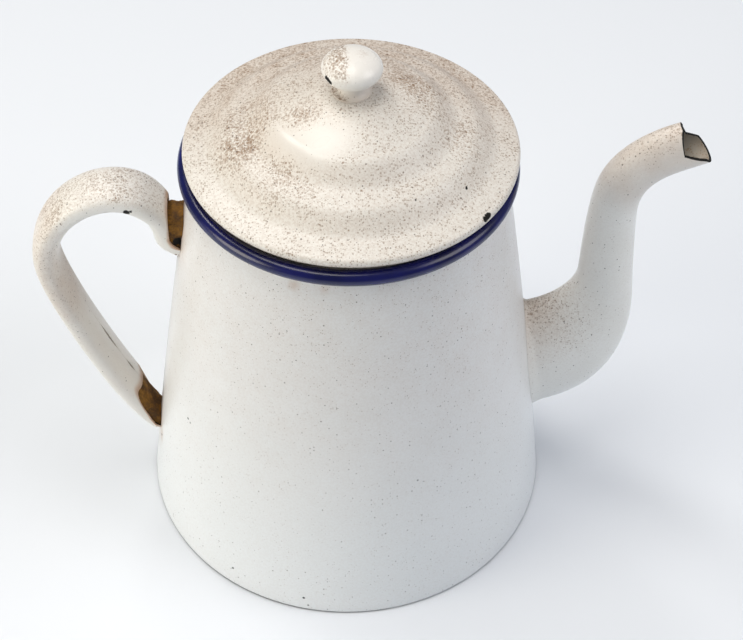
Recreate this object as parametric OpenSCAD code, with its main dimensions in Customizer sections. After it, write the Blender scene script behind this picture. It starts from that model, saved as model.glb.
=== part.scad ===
// Enamelled steel coffee pot: tapered body, swan-neck spout, hollow loop handle and a lift-off lid.
// Millimetres. The origin is the centre of the foot, on the table. +Z is up, +X is towards the spout.

/* [Body] */
// Outside width at the foot
foot_d = 150; // [135:1:165]
// Outside width of the wall under the rolled rim
mouth_d = 105; // [95:1:115]
// Height of the middle of the rolled rim
rim_h = 155; // [140:1:185]
// How far the wall bulges out at mid-height
belly = 1; // [0:0.1:3]
// Thickness of the enamelled sheet, used for every pressing
sheet = 1; // [0.8:0.05:1.3]
// Thickness of the rolled rim
rim_roll_d = 5.2; // [4.2:0.1:6.5]
// Width of the turned-in edge that the pot stands on
foot_w = 4; // [3:0.5:8]
// Height of the underside of the base disc
base_rise = 4; // [3:0.5:8]

/* [Spout] */
// Height of the lowest point of the spout's root
root_low = 32; // [24:1:40]
// Height of the highest point of the spout's root
root_high = 83; // [76:1:92]
// Side-to-side width of the root
root_w = 22; // [18:1:28]
// Distance from the wall at the root's top to the neck
neck_gap = 18; // [14:1:26]
// Front-to-back width of the neck at its foot
neck_foot_w = 20.5; // [18:0.5:24]
// Front-to-back width of the neck at its top
neck_top_w = 15.5; // [14:0.5:18]
// Side-to-side width of the neck
neck_w = 14; // [12:0.5:17]
// How far the neck leans out over its height
neck_lean = 2; // [0:0.5:5]
// Reach of the mouth's upper edge past the neck
mouth_reach = 25.5; // [20:0.5:32]
// Height of the mouth's upper edge over the middle of the rim
mouth_rise = 12; // [6:1:18]
// Height of the mouth, from its upper edge down to the lip
mouth_h = 14; // [12:0.5:17]
// Side-to-side width of the mouth
mouth_w = 11.5; // [10:0.5:14]
// How far the lip stands out past the mouth's upper edge
lip_out = 12; // [8:1:16]
// Width of each strainer hole behind the spout
strainer_hole_d = 4; // [3:0.5:5]
// Distance between neighbouring strainer holes
strainer_pitch = 6.5; // [6:0.5:9]

/* [Handle] */
// Height of the handle's upper joint, measured down from the middle of the rim
handle_drop = 28.5; // [24:0.5:34]
// Height of the middle of the handle's lower end
handle_low = 29.5; // [24:0.5:40]
// How far the handle's middle line bows out past the foot
handle_bow = 29; // [23:0.5:42]
// Height of that outermost point below the middle of the rim
handle_bow_drop = 39; // [34:1:46]
// Thickness of the handle, across the loop
handle_t = 9.2; // [8:0.2:11]
// Side-to-side width of the handle
handle_w = 18.8; // [16:0.2:23]
// Height of the handle's upper end at the wall
handle_end_h = 19; // [15:0.5:21]
// Side-to-side width of the handle's ends at the wall
handle_end_w = 15; // [13:0.5:18]
// Width of the open seam along the handle's inner face
seam_gap = 0.4; // [0.2:0.1:0.8]

/* [Lid] */
// How far the lid's edge stands out past the wall's mouth, on each side
lid_overhang = 3; // [1.5:0.5:5]
// Thickness of the lid's hemmed edge
hem_d = 3.4; // [2.8:0.2:4]
// Height of the lid's edge over the top of the rolled rim
lid_stand = 2.3; // [1.6:0.1:3.5]
// How far the loose lid sits off the pot's axis, towards the spout
lid_shift = 0.8; // [0:0.1:1.2]
// Slope of the lid between its steps, in degrees
lid_slope = 21; // [14:1:26]
// Width of the flange between the lid's edge and the outer pressed step
flange_w = 8.5; // [7:0.5:10]
// Width of the shoulder between the two pressed steps
shoulder_w = 7.5; // [5:0.5:9]
// Width of a pressed step
step_w = 6; // [4.5:0.5:7]
// Extra height gained over a pressed step
step_rise = 2.7; // [1:0.1:3.5]
// Slope at the dome's edge, in degrees
dome_slope = 26; // [18:1:32]
// Depth of the collar below the middle of the rim
collar_depth = 12; // [8:1:20]

/* [Knob] */
// Width of the knob
knob_d = 19.6; // [16:0.2:24]
// Height of the knob's flattened ball
knob_h = 10.4; // [9:0.2:13]
// Height of the neck under the ball
knob_neck_h = 4; // [3:0.5:8]
// Width of the neck
knob_neck_d = 9; // [8.4:0.2:11]
// Width of the rivet's shank
rivet_d = 4; // [3:0.2:4.4]

/* [Hidden] */

// Clearances
weld_gap = 0.05;
rest_gap = 0.3;
collar_gap = 0.4;
plug_gap = 0.7;
rivet_gap = 0.05;

// Body
wall_steps = 14;
round_fn = 120;
rim_roll_r = rim_roll_d / 2;
rim_ring_r = mouth_d / 2 - sheet + rim_roll_r;
function wall_r(z) =
    foot_d / 2 + (mouth_d - foot_d) / 2 * z / rim_h + belly * 4 * (z / rim_h) * (1 - z / rim_h);
// Depth of the wall's outside along X, at height z and sideways distance y
function wall_x(y, z) = sqrt(pow(wall_r(z), 2) - y * y);

// A smooth line from p to q, leaving at angle a with pull pa and arriving at angle b with pull pb
function bend(p, q, a, b, pa, pb, t) =
    (2 * pow(t, 3) - 3 * t * t + 1) * p + (pow(t, 3) - 2 * t * t + t) * pa * [cos(a), sin(a)]
    + (3 * t * t - 2 * pow(t, 3)) * q + (pow(t, 3) - t * t) * pb * [cos(b), sin(b)];
function mix(a, b, t) = a * (1 - t) + b * t;
function ease(t) = t <= 0 ? 0 : t >= 1 ? 1 : (1 - cos(180 * t)) / 2;
function signed_pow(v, e) = sign(v) * pow(abs(v), e);

// Closed skin over rings of points; every ring has the same number of points
module skin(rings) {
    n = len(rings[0]);
    last = len(rings) - 1;
    sides = [for (j = [0:last - 1]) for (i = [0:n - 1])
        each [[j * n + i, j * n + (i + 1) % n, (j + 1) * n + i],
              [j * n + (i + 1) % n, (j + 1) * n + (i + 1) % n, (j + 1) * n + i]]];
    // each end of a C-shaped ring is closed by a strip between its outer and inner line
    half = n / 2;
    caps = [for (i = [0:half - 2]) each [
        [i, n - 1 - i, n - 2 - i], [i, n - 2 - i, i + 1],
        [last * n + i, last * n + n - 2 - i, last * n + n - 1 - i],
        [last * n + i, last * n + i + 1, last * n + n - 2 - i]]];
    polyhedron(points = [for (r = rings) each r], faces = concat(sides, caps), convexity = 8);
}

// Spout: two lines in the middle plane, the upper (inner) edge and the lower (outer) edge
neck_in_x = wall_r(root_high) + neck_gap;
// Where the neck's two straight edges start over the root's top and end under the rim
neck_in_rise = 18;
neck_in_drop = 14.5;
neck_out_rise = 10;
neck_out_drop = 24;
spout_top_pts = [[wall_r(root_high), root_high], [neck_in_x, root_high + neck_in_rise],
                 [neck_in_x + neck_lean, rim_h - neck_in_drop],
                 [neck_in_x + neck_lean + mouth_reach, rim_h + mouth_rise]];
spout_top_angles = [10, 89, 79, 17];
top_root_pull = 26;
top_neck_pull = 32;
top_mouth_pull = 39;
spout_top_pulls = [top_root_pull, top_neck_pull, top_mouth_pull];
spout_low_pts = [[wall_r(root_low), root_low],
                 [neck_in_x + neck_foot_w, root_high + neck_out_rise],
                 [neck_in_x + neck_lean + neck_top_w, rim_h - neck_out_drop],
                 [neck_in_x + neck_lean + mouth_reach + lip_out, rim_h + mouth_rise - mouth_h]];
spout_low_angles = [12, 97, 90, 25];
low_root_pull = 87;
low_neck_pull = 21;
low_mouth_pull = 41;
spout_low_pulls = [low_root_pull, low_neck_pull, low_mouth_pull];
neck_swell = 1;
spout_widths = [root_w, neck_w + neck_swell, neck_w, mouth_w];
mouth_notch = 0.028;
lip_spread = 0.35;
spout_rings = 33;
spout_lines = 13;
function spout_edge(pts, angles, pulls, t) =
    let (k = min(floor(t * 3), 2), u = t * 3 - k)
    bend(pts[k], pts[k + 1], angles[k], angles[k + 1], pulls[k], pulls[k], u);
function spout_width(t) =
    let (k = min(floor(t * 3), 2)) mix(spout_widths[k], spout_widths[k + 1], ease(t * 3 - k));
// A point of the spout at t along it and angle a round it, inset from the outside
function spout_point(t, a, inset) =
    let (top = spout_edge(spout_top_pts, spout_top_angles, spout_top_pulls, t),
         low = spout_edge(spout_low_pts, spout_low_angles, spout_low_pulls, t),
         up = (top - low) / norm(top - low),
         p = (top + low) / 2 + up * (norm(top - low) / 2 - inset) * cos(a),
         spread = 1 + lip_spread * pow(ease(t * 3 - 2), 4) * max(0, -cos(a)),
         y = (spout_width(t) / 2 * spread - inset) * sin(a),
         seat = wall_x(y, p[1]) + weld_gap)
    [t == 0 ? seat : p[0], y, p[1]];
// The mouth's edge runs straight back from the top and the lip to a notch at each side
function spout_end(a) = 1 - mouth_notch * (1 - abs(cos(a)));
function spout_ring(j, side) = concat(
    [for (i = [0:spout_lines - 1]) let (a = 180 * i / (spout_lines - 1))
        spout_mirror(spout_point(spout_end(a) * j / spout_rings, a, 0), side)],
    [for (i = [spout_lines - 1:-1:0]) let (a = 180 * i / (spout_lines - 1))
        spout_mirror(spout_point(spout_end(a) * j / spout_rings, a, sheet), side)]);
function spout_mirror(p, side) = [p[0], abs(p[1]) < 0.001 ? 0 : side * p[1], p[2]];

// Strainer: rows of holes that stay inside the spout's root
strainer_z = (root_low + root_high) / 2;
strainer_half_h = (root_high - root_low) / 2 - sheet - strainer_hole_d;
strainer_half_w = root_w / 2 - sheet - strainer_hole_d;
strainer_rows = floor(strainer_half_h / (strainer_pitch * sin(60)));
strainer_cols = ceil(strainer_half_w / strainer_pitch);
strainer_holes = [for (r = [-strainer_rows:strainer_rows]) for (c = [-strainer_cols:strainer_cols])
    let (y = (c + (r % 2 == 0 ? 0 : 0.5)) * strainer_pitch, z = r * strainer_pitch * sin(60))
    if (pow(y / (strainer_half_w + 1), 2) + pow(z / (strainer_half_h + 1), 2) <= 1)
        [y, strainer_z + z]];

// Handle: its middle line leaves the wall level, turns up to the elbow, goes over the top to the
// bow and comes back down to the wall
elbow_out = 12.4;
elbow_drop = 18.2;
handle_wall_top = [-wall_r(rim_h - handle_drop), rim_h - handle_drop];
handle_elbow = [-mouth_d / 2 - elbow_out, rim_h - elbow_drop];
handle_bow_pt = [-foot_d / 2 - handle_bow, rim_h - handle_bow_drop];
handle_wall_low = [-wall_r(handle_low), handle_low];
handle_elbow_angle = 123;
handle_low_angle = -48;
wall_pull = 18;
elbow_in_pull = 10;
elbow_out_pull = 66;
bow_in_pull = 71;
bow_out_pull = 44;
handle_square = 2.5;
elbow_t = 0.08;
flare_t = 0.045;
narrow_t = 0.13;
bow_t = 0.5;
foot_t = 0.8;
handle_rings = 56;
handle_lines = 25;
function handle_mid(t) =
    t < elbow_t ? bend(handle_wall_top, handle_elbow, 180, handle_elbow_angle,
                       wall_pull, elbow_in_pull, t / elbow_t)
    : t < bow_t ? bend(handle_elbow, handle_bow_pt, handle_elbow_angle, -90,
                       elbow_out_pull, bow_in_pull, (t - elbow_t) / (bow_t - elbow_t))
    : bend(handle_bow_pt, handle_wall_low, -90, handle_low_angle,
           bow_out_pull, bow_out_pull, (t - bow_t) / (1 - bow_t));
// Direction from the middle line to the outside of the loop
function handle_out(t) =
    let (d = handle_mid(min(t + 0.004, 1)) - handle_mid(max(t - 0.004, 0)))
    [d[1], -d[0]] / norm(d);
// How far the section has changed from its full size to its size at the wall: its height at the
// upper end, and its width at both ends
function end_h(t) = 1 - ease(t / flare_t);
function end_w(t) = max(1 - ease(t / narrow_t), ease((t - foot_t) / (1 - foot_t)));
// A point of the handle at t along it and angle a round it, inset from the outside; a = 0 is the
// loop's outside and a = 180 its inside. A solid end is seated on the wall's outermost line
function handle_point(t, a, inset, solid = false) =
    let (half_t = mix(handle_t, handle_end_h, end_h(t)) / 2 - inset,
         half_w = mix(handle_w, handle_end_w, end_w(t)) / 2 - inset,
         m = handle_mid(t) + handle_out(t) * half_t * signed_pow(cos(a), 2 / handle_square),
         y = half_w * signed_pow(sin(a), 2 / handle_square),
         wall = -wall_x(solid ? 0 : y, m[1]) - weld_gap)
    [t == 0 || t == 1 ? wall : min(m[0], wall), y, m[1]];
function seam_angle(inset) =
    asin(pow(seam_gap / 2 / (handle_w / 2 - inset), handle_square / 2));
function handle_angle(i, inset) =
    mix(-180 + seam_angle(inset), 180 - seam_angle(inset), i / (handle_lines - 1));
// The shell is cut back at both ends, leaving a tongue that runs on to the wall: on the inside of
// the loop at the top and on its outside at the foot
upper_cut_t = 0.066;
lower_cut_t = 0.845;
function off_tongue(a, half_angle, taper) = max(0, min(1, (a - half_angle) / taper));
function handle_start(a) = upper_cut_t * off_tongue(180 - abs(a), 40, 50);
function handle_stop(a) = mix(1, lower_cut_t, off_tongue(abs(a), 25, 110));
function handle_ring(j) = concat(
    [for (i = [0:handle_lines - 1]) let (a = handle_angle(i, 0))
        handle_point(mix(handle_start(a), handle_stop(a), j / handle_rings), a, 0)],
    [for (i = [handle_lines - 1:-1:0]) let (a = handle_angle(i, sheet))
        handle_point(mix(handle_start(a), handle_stop(a), j / handle_rings), a, sheet)]);

// Lid
lid_r = mouth_d / 2 + lid_overhang;
outer_step_r = lid_r - flange_w;
inner_step_r = outer_step_r - step_w - shoulder_w;
dome_land = 0.5;
dome_r = inner_step_r - step_w - dome_land;
hem_r = hem_d / 2;
hem_z = rim_h + rim_roll_r + lid_stand + hem_r;
lid_sheet_h = sheet / cos(lid_slope);
dome_ball_r = dome_r / sin(dome_slope);
knob_foot_r = 6.5;
function step_up(start_r, r) = step_rise * ease((start_r - r) / step_w);
function slope_z(r) =
    hem_z + hem_r / cos(lid_slope) + (lid_r - hem_r - r) * tan(lid_slope)
    + step_up(outer_step_r, r) + step_up(inner_step_r, r);
function dome_z(r) = sqrt(pow(dome_ball_r, 2) - r * r) - dome_ball_r * cos(dome_slope);
function lid_z(r) = r > dome_r ? slope_z(r) : slope_z(dome_r) + dome_z(r);
seat_z = lid_z(knob_foot_r);
hem_steps = 20;
lid_steps = 30;
lid_radii = [for (i = [0:lid_steps]) mix(knob_foot_r, lid_r - hem_d, i / lid_steps)];
collar_r = mouth_d / 2 - sheet - lid_shift - collar_gap;
stop_r = 2;
stop_gap_x = rim_ring_r - collar_r - lid_shift;
stop_z = rim_h + sqrt(pow(stop_r + rim_roll_r + rest_gap, 2) - pow(stop_gap_x, 2));

// Knob
knob_r = knob_d / 2;
knob_half_h = knob_h / 2;
knob_z = seat_z + knob_neck_h + knob_half_h;
neck_r = knob_neck_d / 2;
rivet_r = rivet_d / 2;
rivet_hole_r = rivet_r + rivet_gap;
rivet_head_r = neck_r - sheet - 0.3;
rivet_tail_r = rivet_r + 2.5;
rivet_head_t = 1;
lid_fn = 96;
knob_fn = 64;
function knob_side(r, inset) =
    (knob_half_h - inset) * sqrt(max(0, 1 - pow(r / (knob_r - inset), 2)));
knob_steps = 9;

enamel_white = [0.94, 0.93, 0.89];
enamel_blue = [0.10, 0.12, 0.42];
rusted_steel = [0.36, 0.22, 0.08];

// Tapered wall with a turned-in foot and strainer holes behind the spout
module body_wall() {
    heights = [for (i = [0:wall_steps]) mix(sheet, rim_h, i / wall_steps)];
    foot_r = wall_r(sheet);
    outside = [for (z = heights) [wall_r(z), z]];
    inside = [for (i = [wall_steps:-1:0]) [wall_r(heights[i]) - sheet, heights[i]]];
    corner = [for (a = [-90:15:-15]) [foot_r - sheet + sheet * cos(a), sheet + sheet * sin(a)]];
    inner_end = foot_r - foot_w;
    color(enamel_white)
    difference() {
        rotate_extrude($fn = round_fn)
            polygon(concat([[inner_end, 0]], corner, outside, inside, [[inner_end, sheet]]));
        for (h = strainer_holes)
            translate([wall_r(h[1]) - 3 * sheet, h[0], h[1]])
                rotate([0, 90, 0])
                    cylinder(d = strainer_hole_d, h = 5 * sheet, $fn = 32);
    }
}

// Base disc with a turned-down edge that stands on the wall's turned-in foot
module base_plate() {
    top = base_rise + sheet;
    function fit_r(z) = wall_r(z) - sheet - weld_gap;
    color(enamel_white)
    rotate_extrude($fn = round_fn)
        polygon([[0, base_rise], [fit_r(base_rise) - 2 * sheet, base_rise],
                 [fit_r(sheet) - sheet, base_rise - sheet], [fit_r(sheet) - sheet, sheet],
                 [fit_r(sheet), sheet], [fit_r(top - sheet), top - sheet],
                 [fit_r(top) - sheet, top], [0, top]]);
}

// Lip of the wall, rolled outwards into a hollow ring that stops just short of the wall
module rim_roll() {
    open_w = wall_r(rim_h - rim_roll_r) - (rim_ring_r - rim_roll_r) + rest_gap;
    color(enamel_blue)
    rotate_extrude($fn = round_fn)
        translate([rim_ring_r, rim_h])
            difference() {
                circle(r = rim_roll_r, $fn = 48);
                circle(r = rim_roll_r - sheet, $fn = 48);
                translate([-rim_roll_d, -rim_roll_d])
                    square([rim_roll_d - rim_roll_r + open_w, rim_roll_d]);
            }
}

// One pressed half of the spout; the two meet on the middle plane
module spout_half(side) {
    rings = [for (j = [0:spout_rings]) spout_ring(j, side)];
    color(enamel_white)
    if (side > 0) skin(rings);
    else skin([for (j = [spout_rings:-1:0]) rings[j]]);
}

module spout_left() { spout_half(1); }
module spout_right() { spout_half(-1); }

// Sheet folded into a hollow loop, with its seam along the inner face
module handle_shell() {
    color(enamel_white)
    skin([for (j = [handle_rings:-1:0]) handle_ring(j)]);
}

// Solid plug that fills the handle's end and meets the wall
module handle_plug(from_t, to_t, steps) {
    inset = sheet + plug_gap;
    lines = 28;
    rings = [for (j = [0:steps]) [for (i = [0:lines - 1])
        handle_point(mix(from_t, to_t, j / steps), 360 * i / lines, inset, true)]];
    n = lines;
    sides = [for (j = [0:steps - 1]) for (i = [0:n - 1])
        each [[j * n + i, (j + 1) * n + i, j * n + (i + 1) % n],
              [j * n + (i + 1) % n, (j + 1) * n + i, (j + 1) * n + (i + 1) % n]]];
    caps = [for (i = [1:n - 2]) each [
        [0, i, i + 1], [steps * n, steps * n + i + 1, steps * n + i]]];
    color(rusted_steel)
    polyhedron(points = [for (r = rings) each r], faces = concat(sides, caps), convexity = 4);
}

module handle_upper_bracket() { handle_plug(0, 0.13, 12); }
module handle_lower_bracket() { handle_plug(0.84, 1, 12); }

// Stepped pressing with a hemmed edge and a hole for the knob's rivet
module lid_dome() {
    over = [for (r = lid_radii) [r, lid_z(r)]];
    under = [for (i = [len(lid_radii) - 1:-1:0]) [lid_radii[i], lid_z(lid_radii[i]) - lid_sheet_h]];
    hem_start = 90 - lid_slope;
    hem_end = hem_start + acos((hem_r - sheet) / hem_r) - 360;
    hem = [for (i = [0:hem_steps]) let (a = mix(hem_start, hem_end, i / hem_steps))
        [lid_r - hem_r + hem_r * cos(a), hem_z + hem_r * sin(a)]];
    color(enamel_white)
    translate([lid_shift, 0, 0])
        rotate_extrude($fn = lid_fn)
            polygon(concat([[rivet_hole_r, seat_z]], over, hem, under,
                           [[rivet_hole_r, seat_z - lid_sheet_h]]));
}

// Ring welded under the lid that keeps it in the mouth; its bead rests on the rolled rim
module lid_collar() {
    outer = collar_r;
    inner = collar_r - sheet;
    bottom = rim_h - collar_depth;
    inside_r = stop_r - sheet;
    bulge = [for (a = [-90:15:90]) [outer + stop_r * cos(a), stop_z + stop_r * sin(a)]];
    hollow = [for (a = [90:-15:-90]) [outer + inside_r * cos(a), stop_z + inside_r * sin(a)]];
    color(enamel_white)
    translate([lid_shift, 0, 0])
        rotate_extrude($fn = lid_fn)
            polygon(concat([[inner, bottom], [outer, bottom]], bulge,
                           [[outer, slope_z(outer) - lid_sheet_h - weld_gap],
                            [inner, slope_z(inner) - lid_sheet_h - weld_gap],
                            [inner, stop_z + inside_r]], hollow, [[inner, stop_z - inside_r]]));
}

// Upper pressing of the hollow knob
module knob_top() {
    outer = [for (i = [0:knob_steps]) let (a = 90 * i / knob_steps)
        [knob_r * cos(a), knob_z + knob_half_h * sin(a)]];
    inner = [for (i = [knob_steps:-1:0]) let (a = 90 * i / knob_steps)
        [(knob_r - sheet) * cos(a), knob_z + (knob_half_h - sheet) * sin(a)]];
    color(enamel_white)
    translate([lid_shift, 0, 0]) rotate_extrude($fn = knob_fn) polygon(concat(outer, inner));
}

// Lower pressing of the knob: the underside of the ball, the neck and its foot
module knob_base() {
    ball_a = acos(neck_r / knob_r);
    bore_a = acos((neck_r - sheet) / (knob_r - sheet));
    flare = knob_foot_r - neck_r;
    outer = [for (i = [0:knob_steps]) let (a = ball_a * (1 - i / knob_steps))
        [knob_r * cos(a), knob_z - knob_half_h * sin(a)]];
    inner = [for (i = [0:knob_steps]) let (a = bore_a * i / knob_steps)
        [(knob_r - sheet) * cos(a), knob_z - (knob_half_h - sheet) * sin(a)]];
    foot = [for (a = [-90:15:0]) [knob_foot_r - flare * cos(a), seat_z + sheet / 2 + flare * (1 + sin(a))]];
    color(enamel_white)
    translate([lid_shift, 0, 0])
        rotate_extrude($fn = knob_fn)
            polygon(concat([[rivet_hole_r, seat_z], [knob_foot_r, seat_z]], foot, outer, inner,
                           [[neck_r - sheet, seat_z + sheet], [rivet_hole_r, seat_z + sheet]]));
}

// Rivet through the knob's foot and the lid, headed on both sides
module knob_rivet() {
    head_z = seat_z + sheet;
    tail_z = seat_z - lid_sheet_h;
    color(enamel_white)
    translate([lid_shift, 0, 0]) {
        translate([0, 0, tail_z]) cylinder(r = rivet_r, h = head_z - tail_z, $fn = knob_fn);
        translate([0, 0, head_z]) cylinder(r = rivet_head_r, h = rivet_head_t, $fn = knob_fn);
        translate([0, 0, tail_z - rivet_head_t])
            cylinder(r1 = rivet_tail_r - rivet_head_t, r2 = rivet_tail_r, h = rivet_head_t,
                     $fn = knob_fn);
    }
}

body_wall();
base_plate();
rim_roll();
spout_left();
spout_right();
handle_shell();
handle_upper_bracket();
handle_lower_bracket();
lid_dome();
lid_collar();
knob_top();
knob_base();
knob_rivet();
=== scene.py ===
# %% [markdown]
# # An enamelled steel coffee pot
# This pot is thin steel sheet, pressed and rolled to shape and then dipped in molten glass: cream
# white all over, dark blue on the rolled rim. Each piece below is one pressing. It is made where
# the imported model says, in the same frame, so nothing has to be fitted by eye afterwards.

# %% Load the frame
import math
import random

import bmesh
import bpy
from mathutils import Matrix, Vector


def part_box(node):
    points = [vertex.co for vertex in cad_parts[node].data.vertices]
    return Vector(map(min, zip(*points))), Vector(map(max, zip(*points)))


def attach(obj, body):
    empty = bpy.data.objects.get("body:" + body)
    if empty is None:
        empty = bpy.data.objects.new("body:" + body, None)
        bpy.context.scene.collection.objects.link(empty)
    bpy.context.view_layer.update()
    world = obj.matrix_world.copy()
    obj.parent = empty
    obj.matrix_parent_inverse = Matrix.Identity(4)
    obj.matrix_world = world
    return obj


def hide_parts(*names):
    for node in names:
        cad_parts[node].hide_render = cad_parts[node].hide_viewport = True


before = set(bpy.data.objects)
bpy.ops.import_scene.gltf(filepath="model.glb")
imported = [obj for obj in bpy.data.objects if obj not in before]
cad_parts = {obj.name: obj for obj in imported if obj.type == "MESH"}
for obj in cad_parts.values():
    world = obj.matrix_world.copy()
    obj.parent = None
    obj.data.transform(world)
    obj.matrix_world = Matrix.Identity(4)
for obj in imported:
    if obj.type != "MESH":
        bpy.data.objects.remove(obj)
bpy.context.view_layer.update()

# %% [markdown]
# ## Sizes
# The maker works in millimetres, and Blender in metres, so the shapes are written in millimetres
# and scaled once, when a mesh is made. The heights and widths that every other piece depends on
# are read from the model's own boxes.

# %% Sizes of the pressings
MM = 0.001
SHEET = 1.0


def box_mm(node):
    low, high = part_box(node)
    return low / MM, high / MM


bead_low, bead_high = box_mm("rim_roll")
BEAD_R = (bead_high.z - bead_low.z) / 2
BEAD_RING_R = bead_high.x - BEAD_R
RIM_H = (bead_low.z + bead_high.z) / 2
MOUTH_R = BEAD_RING_R - BEAD_R + SHEET
FOOT_R = 75.0
BELLY = 1.0
print(f"rim at {RIM_H:.1f} mm, mouth {2 * MOUTH_R:.1f} mm, foot {2 * FOOT_R:.1f} mm")

# %% [markdown]
# ## Camera
# The pot is seen from above and a little to the left of square on, with a long lens. The camera's
# own axes are written out as three directions, which fixes its turn exactly.

# %% Camera
CAMERA_AT = Vector((-0.0211, -0.4255, 0.5370))
CAMERA_RIGHT = Vector((0.9984, -0.0537, 0.0149))
CAMERA_UP = Vector((0.0293, 0.7327, 0.6799))
LENS_MM = 83.377

camera_data = bpy.data.cameras.new("camera")
camera_data.lens = LENS_MM
camera_data.sensor_width = 36.0
camera = bpy.data.objects.new("camera", camera_data)
camera_right = CAMERA_RIGHT.normalized()
camera_back = camera_right.cross(CAMERA_UP).normalized()
camera_up = camera_back.cross(camera_right)
turn = Matrix((camera_right, camera_up, camera_back)).transposed().to_4x4()
camera.matrix_world = Matrix.Translation(CAMERA_AT) @ turn
bpy.context.scene.collection.objects.link(camera)
bpy.context.scene.camera = camera
bpy.context.scene.view_settings.view_transform = "Standard"
print("camera distance:", round(CAMERA_AT.length, 3), "m")

# %% [markdown]
# ## A short way to write node trees
# A material here is mostly arithmetic on patterns. Wiring Math nodes by hand hides that, so a
# small class wraps a node's output and lets Python's own operators add the nodes: `1 - mask`
# becomes a Subtract node. The same class serves materials and Geometry Nodes.


# %% Node helpers
class Wire:
    """An output of a node. Arithmetic on it adds Math nodes to its tree."""

    def __init__(self, tree, node, output):
        self.tree = tree
        self.node = node
        self.socket = node.outputs[output] if node.outputs else None

    def other(self, output):
        return Wire(self.tree, self.node, output)

    def math(self, operation, first, second=0.0, clamped=False):
        settings = {"operation": operation, "use_clamp": clamped}
        return self.tree.node("ShaderNodeMath", settings, {0: first, 1: second})

    def __add__(self, value):
        return self.math("ADD", self, value)

    def __sub__(self, value):
        return self.math("SUBTRACT", self, value)

    def __rsub__(self, value):
        return self.math("SUBTRACT", value, self)

    def __mul__(self, value):
        return self.math("MULTIPLY", self, value)

    def __truediv__(self, value):
        return self.math("DIVIDE", self, value)

    def __pow__(self, value):
        return self.math("POWER", self, value)

    __radd__ = __add__
    __rmul__ = __mul__

    def clamp(self):
        return self.math("ADD", self, 0.0, clamped=True)

    def at_least(self, value):
        return self.math("MAXIMUM", self, value)

    def above(self, level, sharpness):
        """0 below the level and 1 above it, with a ramp between as steep as the sharpness."""
        return self.math("MULTIPLY", self - level, sharpness, clamped=True)


class NodeTree:
    """Adds nodes to a material's or a modifier's tree."""

    def __init__(self, tree):
        self.tree = tree

    def node(self, kind, settings=None, inputs=None, output=0):
        made = self.tree.nodes.new(kind)
        for name, value in (settings or {}).items():
            if name == "stops":
                self.set_stops(made.color_ramp, value)
            else:
                setattr(made, name, value)
        for name, value in (inputs or {}).items():
            if isinstance(value, Wire):
                self.tree.links.new(value.socket, made.inputs[name])
            else:
                made.inputs[name].default_value = value
        return Wire(self, made, output)

    def set_stops(self, ramp, stops):
        while len(ramp.elements) < len(stops):
            ramp.elements.new(0.5)
        for element, (place, colour) in zip(ramp.elements, stops):
            element.position = place
            element.color = colour

    def mix(self, factor, below, over):
        """The colour below, covered by the one over it as far as the factor says."""
        return self.node("ShaderNodeMix", {"data_type": "RGBA"}, {0: factor, 6: below, 7: over}, 2)

    def layer(self, name):
        """How far a finish painted on the mesh's points reaches here."""
        settings = {"attribute_type": "GEOMETRY", "attribute_name": name}
        return self.node("ShaderNodeAttribute", settings, output="Fac")

    def place(self):
        return self.node("ShaderNodeTexCoord", output="Object")

    def noise(self, place, size_mm, detail=2.0, roughness=0.5):
        scale = 1 / (size_mm * MM)
        inputs = {"Vector": place, "Scale": scale, "Detail": detail, "Roughness": roughness}
        return self.node("ShaderNodeTexNoise", None, inputs)

    def specks(self, place, cell_mm, amount, size, crisp=9.0):
        """Round specks, one at most in a cell. More of them, and larger, as the amount rises."""
        inputs = {"Vector": place, "Scale": 1 / (cell_mm * MM)}
        cells = self.node("ShaderNodeTexVoronoi", None, inputs)
        luck = self.node("ShaderNodeSeparateColor", None, {"Color": cells.other("Color")})
        return ((amount - luck) * size - cells).above(0.0, crisp)

    def distance_mm(self, place, point):
        """How far a place is from a point, in millimetres."""
        target = tuple(MM * v for v in point)
        settings = {"operation": "DISTANCE"}
        found = self.node("ShaderNodeVectorMath", settings, {0: place, 1: target}, "Value")
        return found / MM


# %% [markdown]
# ## Enamel
# Vitreous enamel is glass over steel: a pale body colour under a hard gloss. This pot's is old.
# Fine rust specks sit in it, thickest where dust could settle, and the glass has worn off the
# sharpest edges. Where each of these is thick or thin depends on the piece. An unwrapped picture
# could hold that, but it would have to be drawn for every piece. So each mesh carries it as layers
# painted on its own points: grime, rust, bare, and a dust layer that is partly painted shade. The
# material turns a layer into specks, a stain, dark metal or a dull brown film; inside the spout
# that film is painted shade as well as dust. Chips are smaller than the spaces between the mesh's
# points, so they are given by their places instead.


# %% Colours of the white enamel
PALE_CREAM = (0.85, 0.83, 0.79, 1)
CREAM = (0.80, 0.775, 0.725, 1)
CREAM_SHADE = (0.765, 0.735, 0.68, 1)
GRAIN_BROWN = (0.42, 0.31, 0.23, 1)
SPECK_BROWN = (0.20, 0.11, 0.05, 1)
SPECK_DARK = (0.10, 0.07, 0.055, 1)
STAIN = (0.46, 0.27, 0.155, 1)
# A dull brown film: dust, and inside the spout painted shade.
DUST_AND_SHADE = (0.235, 0.20, 0.145, 1)
BARE_STEEL = (0.005, 0.0045, 0.004, 1)


def finish_material(tree, material, colour, roughness, bump, bump_mm, alpha=1.0):
    height = {"Strength": 0.4, "Distance": bump_mm * MM, "Height": bump}
    relief = tree.node("ShaderNodeBump", None, height)
    inputs = {"Base Color": colour, "Roughness": roughness, "Normal": relief, "Alpha": alpha}
    surface = tree.node("ShaderNodeBsdfPrincipled", None, inputs)
    output = material.node_tree.nodes.new("ShaderNodeOutputMaterial")
    material.node_tree.links.new(surface.socket, output.inputs["Surface"])


def new_material(name):
    material = bpy.data.materials.new(name)
    material.use_nodes = True
    material.node_tree.nodes.clear()
    return material, NodeTree(material.node_tree)
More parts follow.
